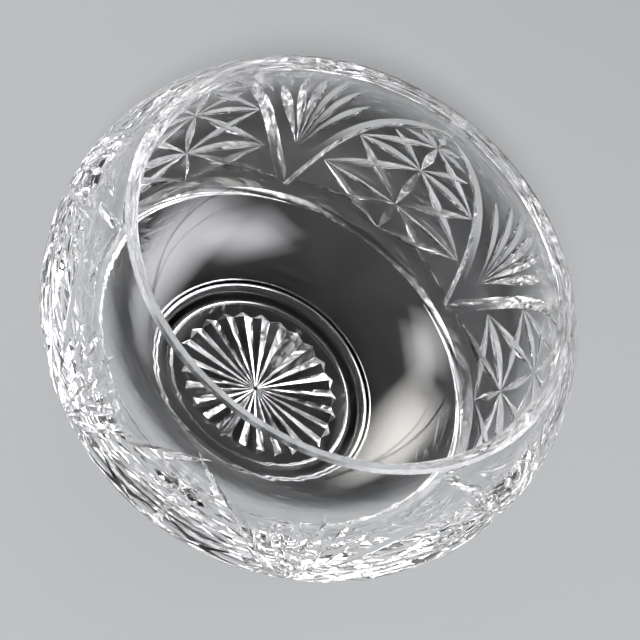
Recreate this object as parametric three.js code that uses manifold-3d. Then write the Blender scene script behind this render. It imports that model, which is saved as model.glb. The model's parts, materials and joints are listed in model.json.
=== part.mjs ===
// Cut crystal rose bowl: one piece of clear glass, blown thick, ground and wheel-cut on the outside.
// Millimetres, +Z up. The origin is the centre of the flat ring that the bowl rests on.
// Six arched panels run round the wall. One is centred on +Y, and angles are measured from +Y towards +X.
import * as THREE from 'three';
import { mergeVertices } from 'three/addons/utils/BufferGeometryUtils.js';
import Module from 'manifold-3d';

const wasm = await Module();
wasm.setup();

// Outside of the blank
const bowlHeight = 115.4;
const bellyRadius = 100.9;
const bellyHeight = 71.9;
const wallArcRadius = 66; // the outside wall is one arc, from the foot ring to the rim

// Foot ring: a flat ring between two rounded sides, round the recess that the star is cut in
const recessHeight = 3.4;
const recessRadius = 38.6;
const footInnerRadius = 42; // of the flat that the bowl rests on
const footOuterRadius = 45;
const footSideRadius = 49.5; // where the foot's outer side meets the wall

// Inside of the blank
const floorHeight = 20.4;
const floorRadius = 33;
const cavityRadius = 92.6;
const cavityHeight = 78; // where the inside is widest
const lipInnerRadius = 79.9;
const lipInnerHeight = 112.6;
const lipEdge = 0.7; // bevel on the outer edge of the lip
const lipFlatInnerRadius = 81.8;

// Cutting
const panelCount = 6;
const panelAngle = 360 / panelCount;
const springHeight = 32.2; // the feet of the arches, and the upper edge of the ring cut
const crownHeight = 97.4; // where the two cuts of an arch cross
const archDepth = 1.7;
const boatDepth = 1.4; // cuts of the lattice, deepest in their middle
const bladeDepth = 1.5;
const bladeRootHeight = 47.2;
const mitreHalfAngle = 57; // of the cutting wheel's edge
const ringHeight = 28.7; // keel of the mitred ring under the panels
const ringDepth = 2.5;
const ringHalfAngle = 60;
const cutterStandOff = 1.6; // how far the cutting solids stand out of the glass

// Star in the recess under the base
const starRays = 26;
const starRadius = 34.5;
const starFullRadius = 32; // the rays widen to here, then run out to their tips
const starHalfAngle = 60;
const starEyeRadius = 0.9;

// Facets of the blank
const turns = 48;
const footSteps = 3; // each side of the foot ring
const underBellySteps = 6;
const overBellySteps = 3;
const cavitySteps = 7;
const shoulderSteps = 3;

const radians = THREE.MathUtils.degToRad;
const wallArcCentre = bellyRadius - wallArcRadius;

// A point of the outside wall at an angle and a height, with the way that the wall faces there.
function wallPoint(angle, height) {
  const rise = (height - bellyHeight) / wallArcRadius;
  const run = Math.sqrt(1 - rise * rise);
  const radius = wallArcCentre + wallArcRadius * run;
  const a = radians(angle);
  return {
    point: new THREE.Vector3(radius * Math.sin(a), radius * Math.cos(a), height),
    normal: new THREE.Vector3(run * Math.sin(a), run * Math.cos(a), rise),
  };
}

function wallRadius(height) {
  return wallArcCentre + Math.sqrt(wallArcRadius ** 2 - (height - bellyHeight) ** 2);
}

function wallHeightBelow(radius) {
  return bellyHeight - Math.sqrt(wallArcRadius ** 2 - (radius - wallArcCentre) ** 2);
}

// The closed outline of the blank, from the axis under the base, up the outside and down the inside.
function blankOutline() {
  const outline = [
    new THREE.Vector2(0, recessHeight),
  ];

  // Each side of the foot ring is a quarter of an ellipse.
  const sideHeight = wallHeightBelow(footSideRadius);
  for (let i = 0; i <= footSteps; i += 1) {
    const turn = (Math.PI / 2) * (i / footSteps);
    outline.push(new THREE.Vector2(
      footInnerRadius - (footInnerRadius - recessRadius) * Math.cos(turn),
      recessHeight - recessHeight * Math.sin(turn),
    ));
  }
  for (let i = 0; i < footSteps; i += 1) {
    const turn = (Math.PI / 2) * (i / footSteps);
    outline.push(new THREE.Vector2(
      footOuterRadius + (footSideRadius - footOuterRadius) * Math.sin(turn),
      sideHeight - sideHeight * Math.cos(turn),
    ));
  }

  const lowest = Math.asin((sideHeight - bellyHeight) / wallArcRadius);
  const highest = Math.asin((bowlHeight - lipEdge - bellyHeight) / wallArcRadius);
  for (let i = -underBellySteps; i <= overBellySteps; i += 1) {
    const tilt = i < 0 ? lowest * (-i / underBellySteps) : highest * (i / overBellySteps);
    const x = wallArcCentre + wallArcRadius * Math.cos(tilt);
    outline.push(new THREE.Vector2(x, bellyHeight + wallArcRadius * Math.sin(tilt)));
  }

  outline.push(new THREE.Vector2(wallRadius(bowlHeight) - lipEdge, bowlHeight));
  outline.push(new THREE.Vector2(lipFlatInnerRadius, bowlHeight));

  // The inside shoulder is an arc that starts upright at the widest place of the cavity.
  const inset = cavityRadius - lipInnerRadius;
  const climb = lipInnerHeight - cavityHeight;
  const shoulderRadius = (inset ** 2 + climb ** 2) / (2 * inset);
  for (let i = shoulderSteps; i >= 1; i -= 1) {
    const height = (climb * i) / shoulderSteps;
    const x = cavityRadius - shoulderRadius + Math.sqrt(shoulderRadius ** 2 - height ** 2);
    outline.push(new THREE.Vector2(x, cavityHeight + height));
  }

  // Below it the cavity closes in as a quarter of an ellipse, down to its flat floor.
  for (let i = cavitySteps; i >= 0; i -= 1) {
    const turn = (Math.PI / 2) * (i / cavitySteps);
    outline.push(new THREE.Vector2(
      floorRadius + (cavityRadius - floorRadius) * Math.sin(turn),
      cavityHeight - (cavityHeight - floorHeight) * Math.cos(turn),
    ));
  }
  outline.push(new THREE.Vector2(0, floorHeight));
  return outline;
}

// A closed geometry as a solid that can be joined and cut.
function toSolid(geometry) {
  const bare = geometry.clone();
  bare.deleteAttribute('normal');
  bare.deleteAttribute('uv');
  const merged = mergeVertices(bare, 1e-4);
  const index = merged.index.array;
  const triangles = [];
  for (let i = 0; i < index.length; i += 3) {
    const [a, b, c] = [index[i], index[i + 1], index[i + 2]];
    if (a !== b && b !== c && c !== a) {
      triangles.push(a, b, c);
    }
  }
  return new wasm.Manifold(new wasm.Mesh({
    numProp: 3,
    vertProperties: new Float32Array(merged.attributes.position.array),
    triVerts: new Uint32Array(triangles),
  }));
}

function toGeometry(solid) {
  const mesh = solid.getMesh();
  const geometry = new THREE.BufferGeometry();
  geometry.setAttribute('position', new THREE.BufferAttribute(mesh.vertProperties, 3));
  geometry.setIndex(new THREE.BufferAttribute(mesh.triVerts, 1));
  geometry.computeVertexNormals();
  return geometry;
}

function turned(outline) {
  const geometry = new THREE.LatheGeometry(outline, turns);
  geometry.rotateX(Math.PI / 2);
  return toSolid(geometry);
}

// The solid that a wheel with a mitred edge takes out along a path. Each stop has a point on the
// surface, the way that the surface faces, and the depth of the keel. The width follows the depth.
function mitreCutter(stops, halfAngle) {
  const slope = Math.tan(radians(halfAngle));
  const positions = [];
  stops.forEach(({ point, normal, depth }, i) => {
    const before = stops[Math.max(i - 1, 0)].point;
    const after = stops[Math.min(i + 1, stops.length - 1)].point;
    const along = new THREE.Vector3().subVectors(after, before);
    const across = new THREE.Vector3().crossVectors(along, normal).normalize();
    const reach = (depth + cutterStandOff) * slope;
    const keel = point.clone().addScaledVector(normal, -depth);
    const top = point.clone().addScaledVector(normal, cutterStandOff);
    const left = top.clone().addScaledVector(across, -reach);
    const right = top.clone().addScaledVector(across, reach);
    positions.push(...keel, ...left, ...right);
  });

  const index = [0, 2, 1];
  for (let i = 0; i + 1 < stops.length; i += 1) {
    const near = 3 * i;
    const far = near + 3;
    for (const [a, b] of [[0, 1], [1, 2], [2, 0]]) {
      index.push(near + a, near + b, far + a);
      index.push(near + b, far + b, far + a);
    }
  }
  const last = 3 * (stops.length - 1);
  index.push(last, last + 1, last + 2);

  const geometry = new THREE.BufferGeometry();
  geometry.setAttribute('position', new THREE.Float32BufferAttribute(positions, 3));
  geometry.setIndex(index);
  return toSolid(geometry);
}

// A cut on the wall. pathAt gives the angle and height at 0 to 1 along it, and depthAt the depth.
function wallCut(pathAt, depthAt, steps) {
  const stops = [];
  for (let i = 0; i <= steps; i += 1) {
    const t = i / steps;
    stops.push({ ...wallPoint(...pathAt(t)), depth: depthAt(t) });
  }
  return mitreCutter(stops, mitreHalfAngle);
}

// Half of an arch. The cut leans in slowly above its foot and runs a little past the crown.
function archCut(centre, side) {
  const pastCrown = 1.03;
  return wallCut(
    (t) => {
      const u = t * pastCrown;
      const angle = (panelAngle / 2) * (1 - u) * (1 + u * u);
      return [centre + side * angle, springHeight + (crownHeight - springHeight) * u];
    },
    (t) => archDepth * Math.min(1, 6 * (1 - t)),
    8,
  );
}

// A boat-shaped cut of the lattice, pointed at both ends and deepest in its middle, where the long
// ones cross each other.
function boatCut(centre, side, from, middle, to, steps) {
  const { lerp } = THREE.MathUtils;
  return wallCut(
    (t) => {
      const [start, end] = t < 0.5 ? [from, middle] : [middle, to];
      const u = t < 0.5 ? 2 * t : 2 * t - 1;
      return [centre + side * lerp(start[0], end[0], u), lerp(start[1], end[1], u)];
    },
    (t) => boatDepth * (1 - Math.abs(2 * t - 1)),
    steps,
  );
}

function halfWay(from, to) {
  return [(from[0] + to[0]) / 2, (from[1] + to[1]) / 2];
}

// Places of the lattice inside an arch, as the angle from the panel's centre and the height. The
// stars are on the centre line, long boats cross at the knots, and the rest end at the arch.
const crown = [0, 92.8];
const topStar = [0, 81.9];
const middleStar = [0, 64.2];
const lowStar = [0, 43.8];
const base = [0, springHeight];
const topKnot = [7.4, 73.2];
const middleKnot = [10, 53.8];
const lowKnot = [11.6, 37];
const topArch = [5.9, 87.4];
const topSide = [9.1, 81.3];
const topCorner = [10.9, 77.5];
const middleSide = [17.1, 64.2];
const lowSide = [21.9, 45.8];
const foot = [27.3, 33.7];

const centreBoats = [[topStar, crown], [topStar, middleStar], [middleStar, lowStar], [lowStar, base]];
const sideBoats = [[topStar, topArch], [topStar, topSide], [middleStar, middleSide], [lowStar, lowSide]];
const crossingBoats = [
  [topStar, topKnot, middleSide], [middleStar, topKnot, topCorner],
  [middleStar, middleKnot, lowSide], [lowStar, middleKnot, middleSide],
  [lowStar, lowKnot, foot], [base, lowKnot, lowSide],
];

function latticeCuts(centre) {
  const cuts = centreBoats.map(([from, to]) => boatCut(centre, 1, from, halfWay(from, to), to, 2));
  for (const side of [-1, 1]) {
    for (const [from, to] of sideBoats) {
      cuts.push(boatCut(centre, side, from, halfWay(from, to), to, 2));
    }
    for (const [from, knot, to] of crossingBoats) {
      cuts.push(boatCut(centre, side, from, knot, to, 4));
    }
  }
  return cuts;
}

// A fan of blades stands between two arches. Each has its spread from the middle and its tip height.
const fanBlades = [[2.6, 98.6], [7.2, 94], [11.2, 84]];

function fanCuts(centre) {
  const cuts = [];
  for (const [spread, tipHeight] of fanBlades) {
    for (const side of [-1, 1]) {
      cuts.push(wallCut(
        (t) => [
          centre + side * spread * t,
          THREE.MathUtils.lerp(bladeRootHeight, tipHeight, t),
        ],
        (t) => bladeDepth * 6.75 * t * t * (1 - t),
        3,
      ));
    }
  }
  return cuts;
}

// The mitred ring that the arches stand on, with plain glass below it.
function ringCut() {
  const { point, normal } = wallPoint(0, ringHeight);
  const middle = new THREE.Vector2(point.y, point.z);
  const out = new THREE.Vector2(normal.y, normal.z);
  const up = new THREE.Vector2(-out.y, out.x);
  const reach = (ringDepth + cutterStandOff) * Math.tan(radians(ringHalfAngle));
  const keel = middle.clone().addScaledVector(out, -ringDepth);
  const edge = middle.clone().addScaledVector(out, cutterStandOff);
  return turned([
    keel,
    edge.clone().addScaledVector(up, -reach),
    edge.clone().addScaledVector(up, reach),
    keel.clone(),
  ]);
}

// One ray of the star. Neighbouring rays meet in a ridge out to starFullRadius.
function starCut(ray) {
  const a = radians((360 / starRays) * ray);
  const depthPerRadius = Math.sin(Math.PI / starRays) / Math.tan(radians(starHalfAngle));
  const stopAt = (radius, depth) => ({
    point: new THREE.Vector3(radius * Math.sin(a), radius * Math.cos(a), recessHeight),
    normal: new THREE.Vector3(0, 0, -1),
    depth,
  });
  return mitreCutter([
    stopAt(starEyeRadius, starEyeRadius * depthPerRadius),
    stopAt(starFullRadius, starFullRadius * depthPerRadius),
    stopAt(starRadius, 0),
  ], starHalfAngle);
}

// Joined by halves, so that no chain of joins grows long.
function joinAll(solids) {
  if (solids.length === 1) {
    return solids[0];
  }
  const half = Math.ceil(solids.length / 2);
  return joinAll(solids.slice(0, half)).add(joinAll(solids.slice(half)));
}

function cutGlass() {
  const cuts = [ringCut()];
  for (let panel = 0; panel < panelCount; panel += 1) {
    const centre = panel * panelAngle;
    cuts.push(archCut(centre, -1), archCut(centre, 1));
    cuts.push(...latticeCuts(centre));
    cuts.push(...fanCuts(centre + panelAngle / 2));
  }
  for (let ray = 0; ray < starRays; ray += 1) {
    cuts.push(starCut(ray));
  }
  return turned(blankOutline()).subtract(joinAll(cuts));
}

const crystal = new THREE.MeshStandardMaterial({ color: 0xe9eef0, roughness: 0.03, metalness: 0 });

const bowl = new THREE.Mesh(toGeometry(cutGlass()), crystal);
bowl.name = 'bowl';

const group = new THREE.Group();
group.add(bowl);

export default group;
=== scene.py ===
import json
import math

import bpy
import numpy as np
from mathutils import Matrix, Vector

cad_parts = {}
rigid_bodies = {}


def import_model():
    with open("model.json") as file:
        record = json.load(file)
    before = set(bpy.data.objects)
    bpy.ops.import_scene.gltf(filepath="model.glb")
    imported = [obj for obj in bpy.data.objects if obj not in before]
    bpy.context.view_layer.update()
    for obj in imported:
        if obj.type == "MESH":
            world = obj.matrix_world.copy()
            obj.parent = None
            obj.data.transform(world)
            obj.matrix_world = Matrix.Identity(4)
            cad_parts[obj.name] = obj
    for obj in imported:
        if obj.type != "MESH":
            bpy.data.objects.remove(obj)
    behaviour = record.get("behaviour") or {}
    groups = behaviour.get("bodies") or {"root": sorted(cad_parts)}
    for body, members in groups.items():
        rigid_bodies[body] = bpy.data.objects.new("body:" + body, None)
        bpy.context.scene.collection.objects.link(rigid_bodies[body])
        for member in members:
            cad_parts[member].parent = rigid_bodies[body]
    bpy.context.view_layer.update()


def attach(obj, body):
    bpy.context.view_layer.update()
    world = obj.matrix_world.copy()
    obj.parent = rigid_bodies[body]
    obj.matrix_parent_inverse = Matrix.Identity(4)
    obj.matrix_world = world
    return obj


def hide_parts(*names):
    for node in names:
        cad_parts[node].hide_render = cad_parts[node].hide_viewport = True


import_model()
mm = 0.001
print("frame loaded")


def arcOf(centre, radii, start, end, rows, side):
    # centre + radii * (cos t, sin t) for t from start to end, as (radius, height) pairs.
    # side is 1 where the glass lies inside the curve and -1 where it lies outside.
    t = np.linspace(start, end, rows + 1)
    points = np.stack([centre[0] + radii[0] * np.cos(t), centre[1] + radii[1] * np.sin(t)], 1)
    return {"points": points, "centre": centre, "radii": radii, "side": side}


def straight(start, end):
    # Two (radius, height) pairs. The glass lies to the left of the way from start to end.
    points = np.array([start, end], float)
    run, climb = points[1] - points[0]
    facing = np.array([climb, -run]) / math.hypot(run, climb)
    return {"points": points, "facing": facing}


def facingAt(part, radius, height):
    # The outward direction of one part of the outline at each point, as its (radial, upward)
    # shares: for a curve, the slope of the ellipse that it lies on.
    if "facing" in part:
        return np.broadcast_to(part["facing"], (len(radius), 2))
    slope = np.stack([(radius - part["centre"][0]) / part["radii"][0] ** 2,
                      (height - part["centre"][1]) / part["radii"][1] ** 2], 1) * part["side"]
    return slope / np.linalg.norm(slope, axis=1, keepdims=True)


def turnedSurface(outline, columns):
    # Each (radius, height) of the outline goes round the axis: (r cos a, r sin a, z).
    # The two ends lie on the axis, so they are one point each.
    rows = outline[1:-1]
    a = np.linspace(0, 2 * math.pi, columns, endpoint=False)
    rings = np.stack([rows[:, :1] * np.cos(a), rows[:, :1] * np.sin(a),
                      np.broadcast_to(rows[:, 1:], (len(rows), columns))], 2)
    ends = [[0, 0, outline[0, 1]], [0, 0, outline[-1, 1]]]
    points = np.concatenate([rings.reshape(-1, 3), ends])

    grid = np.arange(len(rows) * columns).reshape(len(rows), columns)
    after = np.roll(grid, -1, axis=1)
    quads = np.stack([grid[:-1], after[:-1], after[1:], grid[1:]], 2).reshape(-1, 4)
    bottom = np.stack([np.full(columns, grid.size), after[0], grid[0]], 1)
    top = np.stack([np.full(columns, grid.size + 1), grid[-1], after[-1]], 1)
    return points, quads.tolist() + bottom.tolist() + top.tolist()


def sweptMitre(points, facings, depths, halfAngle, standOff):
    # A V carried along a path: keel = point - facing * depth, and two edges that stand off the
    # glass at point + facing * standOff, each (depth + standOff) * tan(halfAngle) to its side.
    along = np.gradient(points, axis=0)
    across = np.cross(along, facings)
    across /= np.linalg.norm(across, axis=1, keepdims=True)
    reach = ((depths + standOff) * math.tan(math.radians(halfAngle)))[:, None] * across
    keel = points - facings * depths[:, None]
    edge = points + facings * standOff
    corners = np.stack([keel, edge - reach, edge + reach], 1)

    first = 3 * np.arange(len(points) - 1)
    sides = [np.stack([first + a, first + b, first + 3 + b, first + 3 + a], 1)
             for a, b in ((0, 1), (1, 2), (2, 0))]
    last = 3 * (len(points) - 1)
    caps = [[0, 2, 1], [last, last + 1, last + 2]]
    return corners.reshape(-1, 3), np.concatenate(sides).tolist() + caps


def roundTheAxis(points, faces, angles):
    # The same shape turned about the axis by each of the angles, in degrees, all in one mesh:
    # x' = x cos a + y sin a and y' = y cos a - x sin a.
    a = np.radians(angles)[:, None]
    x = points[:, 0] * np.cos(a) + points[:, 1] * np.sin(a)
    y = points[:, 1] * np.cos(a) - points[:, 0] * np.sin(a)
    z = np.broadcast_to(points[:, 2], x.shape)
    copies = [[i + k * len(points) for i in face] for k in range(len(angles)) for face in faces]
    return np.stack([x, y, z], 2).reshape(-1, 3), copies


def meshObject(name, points, faces, collection):
    # The points are in millimetres.
    mesh = bpy.data.meshes.new(name)
    mesh.from_pydata((points * mm).tolist(), [], faces)
    made = bpy.data.objects.new(name, mesh)
    collection.objects.link(made)
    return made


blank = {  # the turned glass before it is cut, millimetres
    "height": 115.4,
    "bellyRadius": 100.9,
    "bellyHeight": 71.9,
    "wallArc": 66,
    "recessHeight": 3.4,  # the star is cut in a recess inside the foot ring
    "recessRadius": 38.6,
    "footInnerRadius": 42,  # of the flat that the bowl rests on
    "footOuterRadius": 45,
    "footSideRadius": 49.5,
    "floorHeight": 20.4,
    "floorRadius": 33,
    "cavityRadius": 92.6,
    "cavityHeight": 78,
    "lipInnerRadius": 79.9,
    "lipInnerHeight": 112.6,
    "lipEdge": 0.7,
    "lipFlatInnerRadius": 81.8,
    "columns": 288,
    "outsideRows": 84,
    "shoulderRows": 20,
    "cavityRows": 56,
    "footRows": 14,
}

wallCentre = blank["bellyRadius"] - blank["wallArc"]


def wallAt(angle, height):
    # A point of the outside wall and the way that it faces. The wall is one arc turned about the
    # axis, r = wallCentre + wallArc * sqrt(1 - rise^2) with rise = (z - bellyHeight) / wallArc.
    # Angles are in degrees, from +Y towards +X.
    rise = (height - blank["bellyHeight"]) / blank["wallArc"]
    run = np.sqrt(1 - rise * rise)
    radius = wallCentre + blank["wallArc"] * run
    a = np.radians(angle)
    point = np.stack([radius * np.sin(a), radius * np.cos(a), height], -1)
    facing = np.stack([run * np.sin(a), run * np.cos(a), rise], -1)
    return point, facing


def outlineParts():
    # From the axis under the base, up the outside, over the ground lip and down the inside to
    # the axis, as three lists.
    b = blank
    footRun = b["footSideRadius"] - wallCentre
    footTop = b["bellyHeight"] - math.sqrt(b["wallArc"] ** 2 - footRun ** 2)
    footInside = b["footInnerRadius"] - b["recessRadius"]
    footOutside = b["footSideRadius"] - b["footOuterRadius"]
    wallTop = b["height"] - b["lipEdge"]
    wall = arcOf((wallCentre, b["bellyHeight"]), (b["wallArc"],) * 2,
                 math.asin((footTop - b["bellyHeight"]) / b["wallArc"]),
                 math.asin((wallTop - b["bellyHeight"]) / b["wallArc"]), b["outsideRows"], 1)
    outside = [
        straight((0, b["recessHeight"]), (b["recessRadius"], b["recessHeight"])),
        arcOf((b["footInnerRadius"], b["recessHeight"]), (footInside, b["recessHeight"]),
              math.pi, math.pi * 1.5, b["footRows"], 1),
        straight((b["footInnerRadius"], 0), (b["footOuterRadius"], 0)),
        arcOf((b["footOuterRadius"], footTop), (footOutside, footTop),
              -math.pi / 2, 0, b["footRows"], 1),
        wall,
    ]

    rimClimb = b["height"] - b["bellyHeight"]
    rimRadius = wallCentre + math.sqrt(b["wallArc"] ** 2 - rimClimb ** 2)
    outerEdge = (rimRadius - b["lipEdge"], b["height"])
    innerEdge = (b["lipFlatInnerRadius"], b["height"])
    lip = [
        straight(wall["points"][-1], outerEdge),
        straight(outerEdge, innerEdge),
        straight(innerEdge, (b["lipInnerRadius"], b["lipInnerHeight"])),
    ]

    # The shoulder's arc passes through the lip's inner edge and is upright where it meets the
    # cavity: bend = (inset^2 + climb^2) / (2 inset).
    inset = b["cavityRadius"] - b["lipInnerRadius"]
    climb = b["lipInnerHeight"] - b["cavityHeight"]
    bend = (inset ** 2 + climb ** 2) / (2 * inset)
    inside = [
        arcOf((b["cavityRadius"] - bend, b["cavityHeight"]), (bend, bend),
              math.asin(climb / bend), 0, b["shoulderRows"], -1),
        arcOf((b["floorRadius"], b["cavityHeight"]),
              (b["cavityRadius"] - b["floorRadius"], b["cavityHeight"] - b["floorHeight"]),
              0, -math.pi / 2, b["cavityRows"], -1),
        straight((b["floorRadius"], b["floorHeight"]), (0, b["floorHeight"])),
    ]
    return outside, lip, inside


outsideParts, lipParts, insideParts = outlineParts()
parts = outsideParts + lipParts + insideParts
outline = np.concatenate([part["points"][:-1] for part in parts] + [parts[-1]["points"][-1:]])
bowl = meshObject("bowlCrystal", *turnedSurface(outline, blank["columns"]),
                  bpy.context.scene.collection)
print("blank turned", len(bowl.data.polygons), "faces")


cutting = {  # millimetres and degrees
    "panels": 6,
    "springHeight": 32.2,  # the feet of the arches
    "crownHeight": 97.4,
    "archDepth": 1.7,
    "archOverrun": 1.03,  # an arch goes on past its crown, to this share of its height
    "archRunOut": 6,  # the last 1/6 of its way rises out of the glass
    "archPoints": 41,
    "boatDepth": 1.4,
    "bladeDepth": 1.5,
    "bladeRootHeight": 47.2,
    "bladePoints": 21,
    "halfAngle": 57,  # of the wheel's mitred edge
    "ringHeight": 28.7,
    "ringDepth": 2.5,
    "ringHalfAngle": 60,
    "standOff": 1.6,  # how far a cutter reaches out of the glass
    "fanBlades": [(2.6, 98.6), (7.2, 94), (11.2, 84)],  # spread from the middle, tip height
}

lattice = {  # the crossings inside an arch: angle from the panel's middle, and height
    "crown": (0, 92.8),
    "topStar": (0, 81.9),
    "middleStar": (0, 64.2),
    "lowStar": (0, 43.8),
    "base": (0, 32.2),
    "topKnot": (7.4, 73.2),
    "middleKnot": (10, 53.8),
    "lowKnot": (11.6, 37),
    "topArch": (5.9, 87.4),
    "topSide": (9.1, 81.3),
    "topCorner": (10.9, 77.5),
    "middleSide": (17.1, 64.2),
    "lowSide": (21.9, 45.8),
    "foot": (27.3, 33.7),
}
centreBoats = ["topStar crown", "topStar middleStar", "middleStar lowStar", "lowStar base"]
sideBoats = ["topStar topArch", "topStar topSide", "middleStar middleSide", "lowStar lowSide"]
crossingBoats = [  # each runs through a knot, where it is deepest
    "topStar topKnot middleSide", "middleStar topKnot topCorner",
    "middleStar middleKnot lowSide", "lowStar middleKnot middleSide",
    "lowStar lowKnot foot", "base lowKnot lowSide",
]

star = {  # the star cut under the base, millimetres and degrees
    "rays": 26,
    "radius": 34.5,
    "fullRadius": 32,  # the rays widen to here, then run out to their tips
    "halfAngle": 60,
    "eyeRadius": 0.9,  # where the rays start
}

cutters = bpy.data.collections.new("cutters")
bpy.context.scene.collection.children.link(cutters)
panelAngle = 360 / cutting["panels"]
panelTurns = np.arange(cutting["panels"]) * panelAngle


def cutPanels(name, angle, height, depth, turns=panelTurns):
    # One cut along a path on the wall, and the same cut in each panel.
    points, facings = wallAt(angle, height)
    cutter = sweptMitre(points, facings, depth, cutting["halfAngle"], cutting["standOff"])
    meshObject(name, *roundTheAxis(*cutter, turns), cutters)


def cutArches():
    # Half an arch is angle = panelAngle / 2 * (1 - u)(1 + u^2) and height = spring +
    # (crown - spring) u, which leans in slowly above its foot. It runs a little past the crown,
    # where it comes out of the glass.
    t = np.linspace(0, 1, cutting["archPoints"])
    u = cutting["archOverrun"] * t
    angle = panelAngle / 2 * (1 - u) * (1 + u * u)
    height = cutting["springHeight"] + (cutting["crownHeight"] - cutting["springHeight"]) * u
    depth = cutting["archDepth"] * np.minimum(1, cutting["archRunOut"] * (1 - t))
    for side in (-1, 1):
        cutPanels("archCut", side * angle, height, depth)


def cutBoats():
    # A boat goes straight from place to place in angle and height. Its depth rises evenly to the
    # middle and falls again, 1 - |2t - 1| times the full depth, so both of its ends are pointed.
    for routes, sides in ((centreBoats, (1,)), (sideBoats + crossingBoats, (-1, 1))):
        for route in routes:
            places = np.array([lattice[name] for name in route.split()], float)
            along = np.linspace(0, 1, len(places))
            t = np.linspace(0, 1, 2 * len(places) - 1)
            angle, height = (np.interp(t, along, places[:, k]) for k in (0, 1))
            depth = cutting["boatDepth"] * (1 - abs(2 * t - 1))
            for side in sides:
                cutPanels("boatCut", side * angle, height, depth)


def cutFans():
    # A blade goes from the root of its fan to its tip. Its depth is bladeDepth * 6.75 t^2 (1 - t),
    # which is 1 times the full depth two thirds of the way up, where it is deepest.
    t = np.linspace(0, 1, cutting["bladePoints"])
    depth = cutting["bladeDepth"] * 6.75 * t * t * (1 - t)
    for spread, tip in cutting["fanBlades"]:
        for side in (-1, 1):
            height = cutting["bladeRootHeight"] + (tip - cutting["bladeRootHeight"]) * t
            cutPanels("fanBlade", side * spread * t, height, depth, panelTurns + panelAngle / 2)


def cutRing():
    # The mitred ring is the V turned about the axis, so it is a closed loop with no ends.
    point, facing = wallAt(0.0, cutting["ringHeight"])
    middle, out = point[1:], facing[1:]
    up = np.array([-out[1], out[0]])
    keel = middle - out * cutting["ringDepth"]
    edge = middle + out * cutting["standOff"]
    halfAngle = math.radians(cutting["ringHalfAngle"])
    reach = (cutting["ringDepth"] + cutting["standOff"]) * math.tan(halfAngle)
    section = np.array([keel, edge - up * reach, edge + up * reach])
    a = np.linspace(0, 2 * math.pi, blank["columns"], endpoint=False)
    points = np.stack([section[:, :1] * np.cos(a), section[:, :1] * np.sin(a),
                       np.broadcast_to(section[:, 1:], (3, len(a)))], 2)
    grid = np.arange(points.size // 3).reshape(3, -1)
    over, after = np.roll(grid, -1, axis=0), np.roll(grid, -1, axis=1)
    quads = np.stack([grid, after, np.roll(over, -1, axis=1), over], 2).reshape(-1, 4)
    meshObject("ringCut", points.reshape(-1, 3), quads.tolist(), cutters)


def cutStar():
    # Neighbouring rays of the star meet in a ridge, so their depth grows with the radius,
    # depth = r sin(half a ray's angle) / tan(halfAngle). The rays overlap at the middle, so each
    # one is a cutter of its own.
    perRadius = math.sin(math.pi / star["rays"]) / math.tan(math.radians(star["halfAngle"]))
    radius = np.array([star["eyeRadius"], star["fullRadius"], star["radius"]])
    depth = np.array([star["eyeRadius"] * perRadius, star["fullRadius"] * perRadius, 0])
    points = np.stack([radius * 0, radius, radius * 0 + blank["recessHeight"]], 1)
    facings = np.tile([0.0, 0.0, -1.0], (3, 1))
    cutter = sweptMitre(points, facings, depth, star["halfAngle"], cutting["standOff"])
    for ray in range(star["rays"]):
        meshObject("starRay", *roundTheAxis(*cutter, [360 / star["rays"] * ray]), cutters)


cutArches()
cutBoats()
cutFans()
cutRing()
cutStar()

wheel = bowl.modifiers.new("wheel", "BOOLEAN")
wheel.operation = "DIFFERENCE"
wheel.solver = "MANIFOLD"
wheel.operand_type = "COLLECTION"
wheel.collection = cutters
bpy.context.view_layer.update()
cut = bpy.data.meshes.new_from_object(bowl.evaluated_get(bpy.context.evaluated_depsgraph_get()))
bowl.modifiers.clear()
bowl.data = cut
for cutter in list(cutters.objects):
    bpy.data.objects.remove(cutter)
bpy.data.collections.remove(cutters)
print("bowl cut", len(cut.polygons), "faces", len(cut.vertices), "points")


smoothing = {
    "sharpAngle": 14,  # degrees between two cut facets, above which their edge stays crisp
    "nearness": 0.03,  # millimetres from the outline, within which a face can be a turned one
    "likeness": 0.995,  # cosine of the angle between that face's direction and the outline's
}


def arrayOf(data, name, width, kind=np.float32):
    values = np.zeros(len(data) * width, kind)
    data.foreach_get(name, values)
    return values.reshape(-1, width) if width > 1 else values


def spokesOf(points):
    # How far each point is from the axis, and the way outwards from the axis there.
    radius = np.hypot(points[:, 0], points[:, 1])
    return radius, points[:, :2] / np.maximum(radius, 1e-9)[:, None]


def turnedParts(mesh):
    # For each face, the number of the outline's part that it was turned from, or -1 for a cut
    # facet. A face belongs to a part if its middle lies on it and it faces the same way.
    middle = arrayOf(mesh.polygons, "center", 3) / mm
    normal = arrayOf(mesh.polygons, "normal", 3)
    radius, spoke = spokesOf(middle)
    inPlane = np.stack([(normal[:, :2] * spoke).sum(1), normal[:, 2]], 1)
    where = np.stack([radius, middle[:, 2]], 1)
    found = np.full(len(middle), -1)
    for number, part in enumerate(parts):
        start, step = part["points"][:-1], np.diff(part["points"], axis=0)
        nearest = np.full(len(where), np.inf)
        for s, d in zip(start, step):
            t = np.clip(((where - s) @ d) / (d @ d), 0, 1)
            nearest = np.minimum(nearest, np.linalg.norm(where - s - t[:, None] * d, axis=1))
        same = (facingAt(part, radius, middle[:, 2]) * inPlane).sum(1)
        found[(nearest < smoothing["nearness"]) & (same > smoothing["likeness"])] = number
    return found


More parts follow.
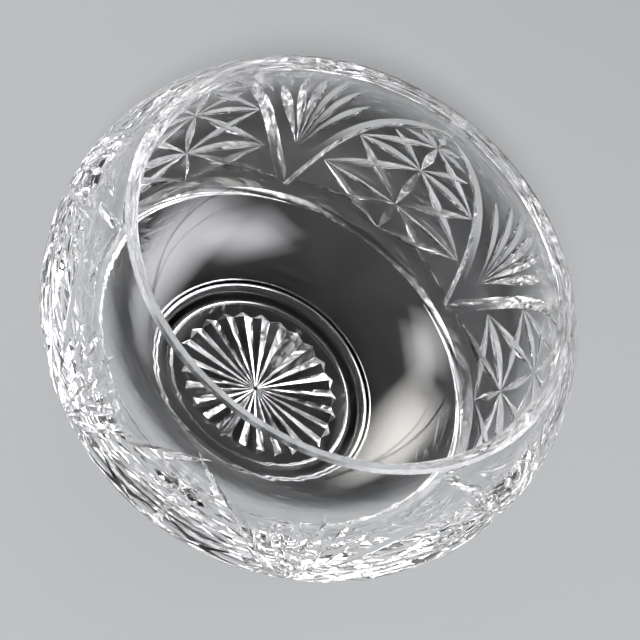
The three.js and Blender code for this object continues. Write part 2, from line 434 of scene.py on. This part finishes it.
def shadeGlass(mesh):
    # Turned faces get the exact direction of their curve at each corner, so the curves are
    # smooth. Cut facets stay crisp, smooth only along a cut.
    mesh.shade_smooth()
    mesh.set_sharp_from_angle(angle=math.radians(smoothing["sharpAngle"]))
    owner = turnedParts(mesh)
    normals = arrayOf(mesh.corner_normals, "vector", 3).astype(float)
    vertexOf = arrayOf(mesh.loops, "vertex_index", 1, np.int32)
    corner = arrayOf(mesh.vertices, "co", 3)[vertexOf] / mm
    size = arrayOf(mesh.polygons, "loop_total", 1, np.int32)
    faceOf = np.repeat(np.arange(len(size)), size)
    radius, spoke = spokesOf(corner)
    for number, part in enumerate(parts):
        own = owner[faceOf] == number
        facing = facingAt(part, radius[own], corner[own, 2])
        normals[own] = np.concatenate([spoke[own] * facing[:, :1], facing[:, 1:]], 1)
    mesh.normals_split_custom_set(normals.tolist())

    # The material reads these marks to tell the cuts, the ground lip and the inside apart.
    firstLip = len(outsideParts)
    firstInside = firstLip + len(lipParts)
    marks = {
        "cutFacet": owner < 0,
        "groundLip": (owner >= firstLip) & (owner < firstInside),
        "turnedInside": owner >= firstInside,
    }
    for name, mark in marks.items():
        made = mesh.attributes.new(name, "FLOAT", "CORNER")
        made.data.foreach_set("value", mark[faceOf].astype(np.float32))
    print("facets", int((owner < 0).sum()), "of", len(owner))


shadeGlass(bowl.data)


class Sock:
    # A shader value that adds its own Math nodes when it is used in an expression.
    def __init__(self, tree, socket):
        self.tree, self.socket = tree, socket

    def node(self, kind, settings=None, values=None, out=0):
        made = self.tree.nodes.new(kind)
        for name, value in (settings or {}).items():
            setattr(made, name, value)
        for key, value in (values or {}).items():
            if isinstance(value, Sock):
                self.tree.links.new(value.socket, made.inputs[key])
            else:
                made.inputs[key].default_value = value
        return Sock(self.tree, made.outputs[out])

    def math(self, operation, *others, clamp=False):
        return self.node("ShaderNodeMath", {"operation": operation, "use_clamp": clamp},
                         dict(enumerate((self, *others))))

    def __add__(self, other):
        return self.math("ADD", other)

    def __radd__(self, other):
        return self.math("ADD", other)

    def __mul__(self, other):
        return self.math("MULTIPLY", other)

    def __rmul__(self, other):
        return self.math("MULTIPLY", other)

    def __sub__(self, other):
        return self.math("SUBTRACT", other)

    def __rsub__(self, other):
        return (self * -1) + other

    def step(self, low, high):
        # 0 below low and 1 above high, with a soft change between.
        return self.node("ShaderNodeMapRange", {"interpolation_type": "SMOOTHSTEP"},
                         {"Value": self, "From Min": low, "From Max": high})


def splitOf(tree, vector):
    # The x, y and z of a vector.
    split = tree.nodes.new("ShaderNodeSeparateXYZ")
    tree.links.new(vector.socket, split.inputs[0])
    return [Sock(tree, output) for output in split.outputs]


crystal = {
    "ior": 1.545,
    "colour": (0.985, 0.99, 0.995, 1),
    "facetRoughness": 0.05,  # the cuts are a little less polished than the turned glass
    "waviness": 0.12,  # millimetres, the slow unevenness of blown glass
    "waveRate": 22,  # noise cells per metre, here and below

    "markDepth": 0.028,  # millimetres, of the fine lines that go round inside
    "markRate": 750,  # across the lines
    "markDrift": 9,  # along them
    "markLean": 0.8,  # what a step outwards counts against a step upwards
    "markBand": (0.08, 0.1),  # metres up, the lines are faint below and full above
    "markFaint": 0.1,  # their share where they are faint

    "lipRoughness": 0.16,
    "lipWhite": 0.3,  # the most of the ground lip's light that is scattered white
    "lipColour": (0.8, 0.82, 0.84, 1),
    "whiteRoughness": 0.5,
    "patchRate": 160,  # the white lies in patches,
    "patchBand": (0.4, 0.65),
    "grainRate": 1400,  # with a fine grain in them
    "grainBand": (0.3, 0.7),
    "grainShare": 0.5,
}


def crystalMaterial():
    c = crystal
    material = bpy.data.materials.new("leadCrystal")
    material.use_nodes = True
    tree = material.node_tree
    clear = tree.nodes["Principled BSDF"]
    ground = tree.nodes.new("ShaderNodeBsdfPrincipled")
    blend = tree.nodes.new("ShaderNodeMixShader")
    here = Sock(tree, None)

    def marked(name):
        return here.node("ShaderNodeAttribute", {"attribute_name": name}, out="Fac")

    def noise(vector, scale, detail):
        return here.node("ShaderNodeTexNoise",
                         values={"Vector": vector, "Scale": scale, "Detail": detail})

    place = here.node("ShaderNodeTexCoord", out="Object")
    x, y, z = splitOf(tree, place)
    radius = (x * x + y * y).math("SQRT")
    facet, lip, inside = marked("cutFacet"), marked("groundLip"), marked("turnedInside")

    # Lines that go round the glass: noise that is fine in radius and height and slow along the
    # way round.
    wayRound = here.node("ShaderNodeCombineXYZ", values={
        0: x * c["markDrift"], 1: y * c["markDrift"],
        2: (z + radius * c["markLean"]) * c["markRate"]})
    lines = noise(wayRound, 1, 1)
    slow = noise(place, c["waveRate"], 1)
    grain = noise(place, c["grainRate"], 2)
    patches = noise(place, c["patchRate"], 4)

    upper = z.step(*c["markBand"]) * (1 - c["markFaint"]) + c["markFaint"]
    marks = lines * inside * upper * c["markDepth"]
    height = (marks + slow * c["waviness"]) * (1 - facet)
    bump = here.node("ShaderNodeBump", values={"Height": height, "Strength": 1, "Distance": mm})
    roughness = facet * c["facetRoughness"] + lip * c["lipRoughness"]
    tree.links.new(roughness.socket, clear.inputs["Roughness"])
    tree.links.new(bump.socket, clear.inputs["Normal"])
    clear.inputs["Base Color"].default_value = c["colour"]
    clear.inputs["IOR"].default_value = c["ior"]
    clear.inputs["Transmission Weight"].default_value = 1

    ground.inputs["Base Color"].default_value = c["lipColour"]
    ground.inputs["Roughness"].default_value = c["whiteRoughness"]
    grainy = grain.step(*c["grainBand"]) * c["grainShare"] + (1 - c["grainShare"])
    white = lip * patches.step(*c["patchBand"]) * grainy * c["lipWhite"]
    tree.links.new(white.socket, blend.inputs["Fac"])
    tree.links.new(clear.outputs["BSDF"], blend.inputs[1])
    tree.links.new(ground.outputs["BSDF"], blend.inputs[2])
    tree.links.new(blend.outputs["Shader"], tree.nodes["Material Output"].inputs["Surface"])
    return material


bowl.data.materials.clear()
bowl.data.materials.append(crystalMaterial())
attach(bowl, "root")
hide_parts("bowl")
print("crystal finished")


studio = {
    "floorColour": (0.5, 0.51, 0.52, 1),
    "floorRoughness": 0.7,
    "floorShine": 0.2,
    "floorSize": 6,  # metres
    "keyPlace": (0.18, -3.3, 3.75),  # in front and above, so the shadow falls behind the bowl
    "keyTarget": (0, 0.3, 0),
    "keySize": 1.07,
    "keyWatts": 310,
    "horizon": 0.75,  # what the camera and the glass see of the room, level and high up
    "zenith": 0.2,
    "fall": 1.6,  # how fast it gets dark with height: 1 / fall is the z where it is darkest
    "behind": 0.35,  # its share on the camera's side
    "panels": 7,  # bright panels round the room, with dark gaps that only the glass sees
    "panelEdge": 0.5,
    "gapDepth": 0.85,
    "roomLight": 0.06,  # what the room gives to everything else
    "cards": [  # seen only in the glass: direction, height angle, width, height, radiance, colour
        ("rightCard", 60, 37, 1.6, 0.8, 3, (0.95, 0.95, 1)),
        ("leftCard", -52, 42, 1.0, 0.7, 3.8, (1, 0.97, 0.92)),
        ("sideCard", -108, 45, 0.55, 0.45, 2.6, (1, 1, 1)),
        ("highCard", 95, 58, 0.7, 0.5, 2.6, (0.95, 0.95, 1)),
    ],
    "cardTarget": (0, 0, 0.06),
    "cardDistance": 1.0,
    "bounces": 32,  # light bounces many times inside the cuts
    "glossyBounces": 16,
}

view = {
    "elevation": 52.31,
    "turn": -0.6,  # degrees, anticlockwise seen from above
    "roll": 37.66,
    "distance": 661.9,  # millimetres from the middle of the rim
    "shiftRight": 3.62,
    "shiftUp": -27.09,
    "lens": 106.21,
    "sensor": 36,  # both in millimetres
}


def floorMaterial():
    material = bpy.data.materials.new("paleFloor")
    material.use_nodes = True
    shader = material.node_tree.nodes["Principled BSDF"]
    shader.inputs["Base Color"].default_value = studio["floorColour"]
    shader.inputs["Roughness"].default_value = studio["floorRoughness"]
    shader.inputs["Specular IOR Level"].default_value = studio["floorShine"]
    return material


def areaLamp(name, place, target, width, height, watts):
    light = bpy.data.lights.new(name, "AREA")
    light.shape = "RECTANGLE"
    light.size, light.size_y, light.energy = width, height, watts
    lamp = bpy.data.objects.new(name, light)
    lamp.location = place
    lamp.rotation_euler = (Vector(target) - Vector(place)).to_track_quat("-Z", "Y").to_euler()
    bpy.context.scene.collection.objects.link(lamp)
    return lamp


def softCard(name, azimuth, elevation, width, height, radiance, colour):
    # A card that only the glass sees. Its strength is 36 u(1 - u) v(1 - v), which is 0 at the
    # edges and 1 on average, so it shows no hard edge in the glass.
    a, e = math.radians(azimuth), math.radians(elevation)
    target = Vector(studio["cardTarget"])
    towards = Vector((math.sin(a) * math.cos(e), math.cos(a) * math.cos(e), math.sin(e)))
    place = target + studio["cardDistance"] * towards
    card = areaLamp(name, place, target, width, height, radiance * math.pi * width * height)
    card.visible_diffuse = False
    card.data.color = colour
    card.data.use_nodes = True
    tree = card.data.node_tree
    across = Sock(tree, None).node("ShaderNodeNewGeometry", out="Parametric")
    u, v = splitOf(tree, across)[:2]
    strength = u * (1 - u) * v * (1 - v) * 36
    tree.links.new(strength.socket, tree.nodes["Emission"].inputs["Strength"])


def roomWorld():
    # The camera and the glass see a room that is bright at the level and dark overhead:
    # ((1 + behind) / 2 + (1 - behind) / 2 * y) * (horizon - (horizon - zenith) * fall * z), with
    # fall * z held to 0..1. Panels stand round it, full where cos(panels * angle) is above
    # panelEdge, and below -panelEdge is a gap, which only the glass sees as dark.
    s = studio
    world = bpy.data.worlds.new("studio")
    world.use_nodes = True
    tree = world.node_tree
    x, y, z = splitOf(tree, Sock(tree, None).node("ShaderNodeTexCoord", out="Generated"))
    path = tree.nodes.new("ShaderNodeLightPath")
    camera, glossy, through = (Sock(tree, path.outputs["Is " + kind + " Ray"])
                               for kind in ("Camera", "Glossy", "Transmission"))
    shown = (camera + glossy).math("ADD", through, clamp=True)
    fade = s["horizon"] - z.math("MULTIPLY", s["fall"], clamp=True) * (s["horizon"] - s["zenith"])
    side = y * (0.5 - s["behind"] / 2) + (0.5 + s["behind"] / 2)
    wave = (x.math("ARCTAN2", y) * s["panels"]).math("COSINE")
    gaps = (1 - wave.step(-s["panelEdge"], s["panelEdge"])) * (1 - camera) * s["gapDepth"]
    strength = shown * fade * side * (1 - gaps) + (1 - shown) * s["roomLight"]
    tree.links.new(strength.socket, tree.nodes["Background"].inputs["Strength"])
    tree.nodes["Background"].inputs["Color"].default_value = (1, 1, 1, 1)
    bpy.context.scene.world = world


def makeStudio():
    half = studio["floorSize"] / 2 / mm
    corners = np.array([[-half, -half, 0], [half, -half, 0], [half, half, 0], [-half, half, 0]])
    floor = meshObject("floor", corners, [[0, 1, 2, 3]], bpy.context.scene.collection)
    floor.data.materials.append(floorMaterial())
    roomWorld()

    key = areaLamp("keyLamp", studio["keyPlace"], studio["keyTarget"],
                   studio["keySize"], studio["keySize"], studio["keyWatts"])
    key.visible_glossy = False
    key.visible_transmission = False
    for card in studio["cards"]:
        softCard(*card)

    cycles = bpy.context.scene.cycles
    cycles.max_bounces = studio["bounces"]
    cycles.transmission_bounces = studio["bounces"]
    cycles.glossy_bounces = studio["glossyBounces"]
    cycles.caustics_refractive = False


def makeCamera():
    # It looks along -back, rolled about that line, and the whole pose goes round the bowl by
    # the turn.
    elevation, roll = math.radians(view["elevation"]), math.radians(view["roll"])
    back = Vector((0, -math.cos(elevation), math.sin(elevation)))
    right = Vector((1, 0, 0))
    up = Vector((0, math.sin(elevation), math.cos(elevation)))
    across = right * math.cos(roll) + up * math.sin(roll)
    upward = up * math.cos(roll) - right * math.sin(roll)
    place = (back * view["distance"] + right * view["shiftRight"] + up * view["shiftUp"]) * mm
    place.z += blank["height"] * mm

    lens = bpy.data.cameras.new("camera")
    lens.lens = view["lens"]
    lens.sensor_width = view["sensor"]
    camera = bpy.data.objects.new("camera", lens)
    pose = Matrix((across, upward, back)).transposed().to_4x4()
    pose.translation = place
    camera.matrix_world = Matrix.Rotation(math.radians(view["turn"]), 4, "Z") @ pose
    bpy.context.scene.collection.objects.link(camera)
    bpy.context.scene.camera = camera


makeStudio()
makeCamera()
bpy.context.scene.view_settings.view_transform = "Standard"
print("studio ready")
